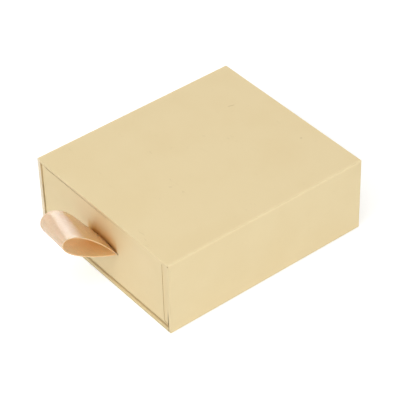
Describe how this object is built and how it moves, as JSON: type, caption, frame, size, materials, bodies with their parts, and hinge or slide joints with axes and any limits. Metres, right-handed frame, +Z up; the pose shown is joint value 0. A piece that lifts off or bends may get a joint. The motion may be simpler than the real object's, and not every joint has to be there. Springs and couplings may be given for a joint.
{
  "type": "sliding drawer gift box",
  "caption": "Small rigid drawer box: a paper-covered board sleeve, open at the front, with a shallow tray that slides out by a folded ribbon loop.",
  "frame": {"origin": "middle of the flat underside of the sleeve, where the box stands", "axes": "+X along the drawer front to the right, +Y from the open front to the closed back, +Z up; the drawer slides out along -Y"},
  "size_m": [0.1, 0.1418, 0.0436],
  "materials": {
    "greyboard": "plain grey-brown board, hidden under paper",
    "pearl_paper": "pale cream pearl wrapping paper with a soft sheen",
    "lining_paper": "plain cream uncoated paper",
    "satin_ribbon": "peach satin with a bright sheen"
  },
  "bodies": {
    "sleeve": {"sleeve_top_board": "greyboard", "sleeve_bottom_board": "greyboard", "sleeve_left_board": "greyboard", "sleeve_right_board": "greyboard", "sleeve_back_board": "greyboard", "sleeve_wrap": "pearl_paper", "sleeve_base_sheet": "pearl_paper", "sleeve_back_sheet": "pearl_paper", "sleeve_lining": "lining_paper"},
    "tray": {"tray_base_board": "greyboard", "tray_front_board": "greyboard", "tray_back_board": "greyboard", "tray_left_board": "greyboard", "tray_right_board": "greyboard", "tray_wrap": "pearl_paper", "tray_front_flap": "pearl_paper", "tray_back_flap": "pearl_paper", "tray_wall_lining": "lining_paper", "tray_floor_lining": "lining_paper", "ribbon_pull": "satin_ribbon", "ribbon_patch": "lining_paper"}
  },
  "joints": [
    {"name": "tray_slide", "type": "slide", "parent": "sleeve", "child": "tray", "axis": [0, -1, 0], "range_m": [0, 0.118]}
  ]
}
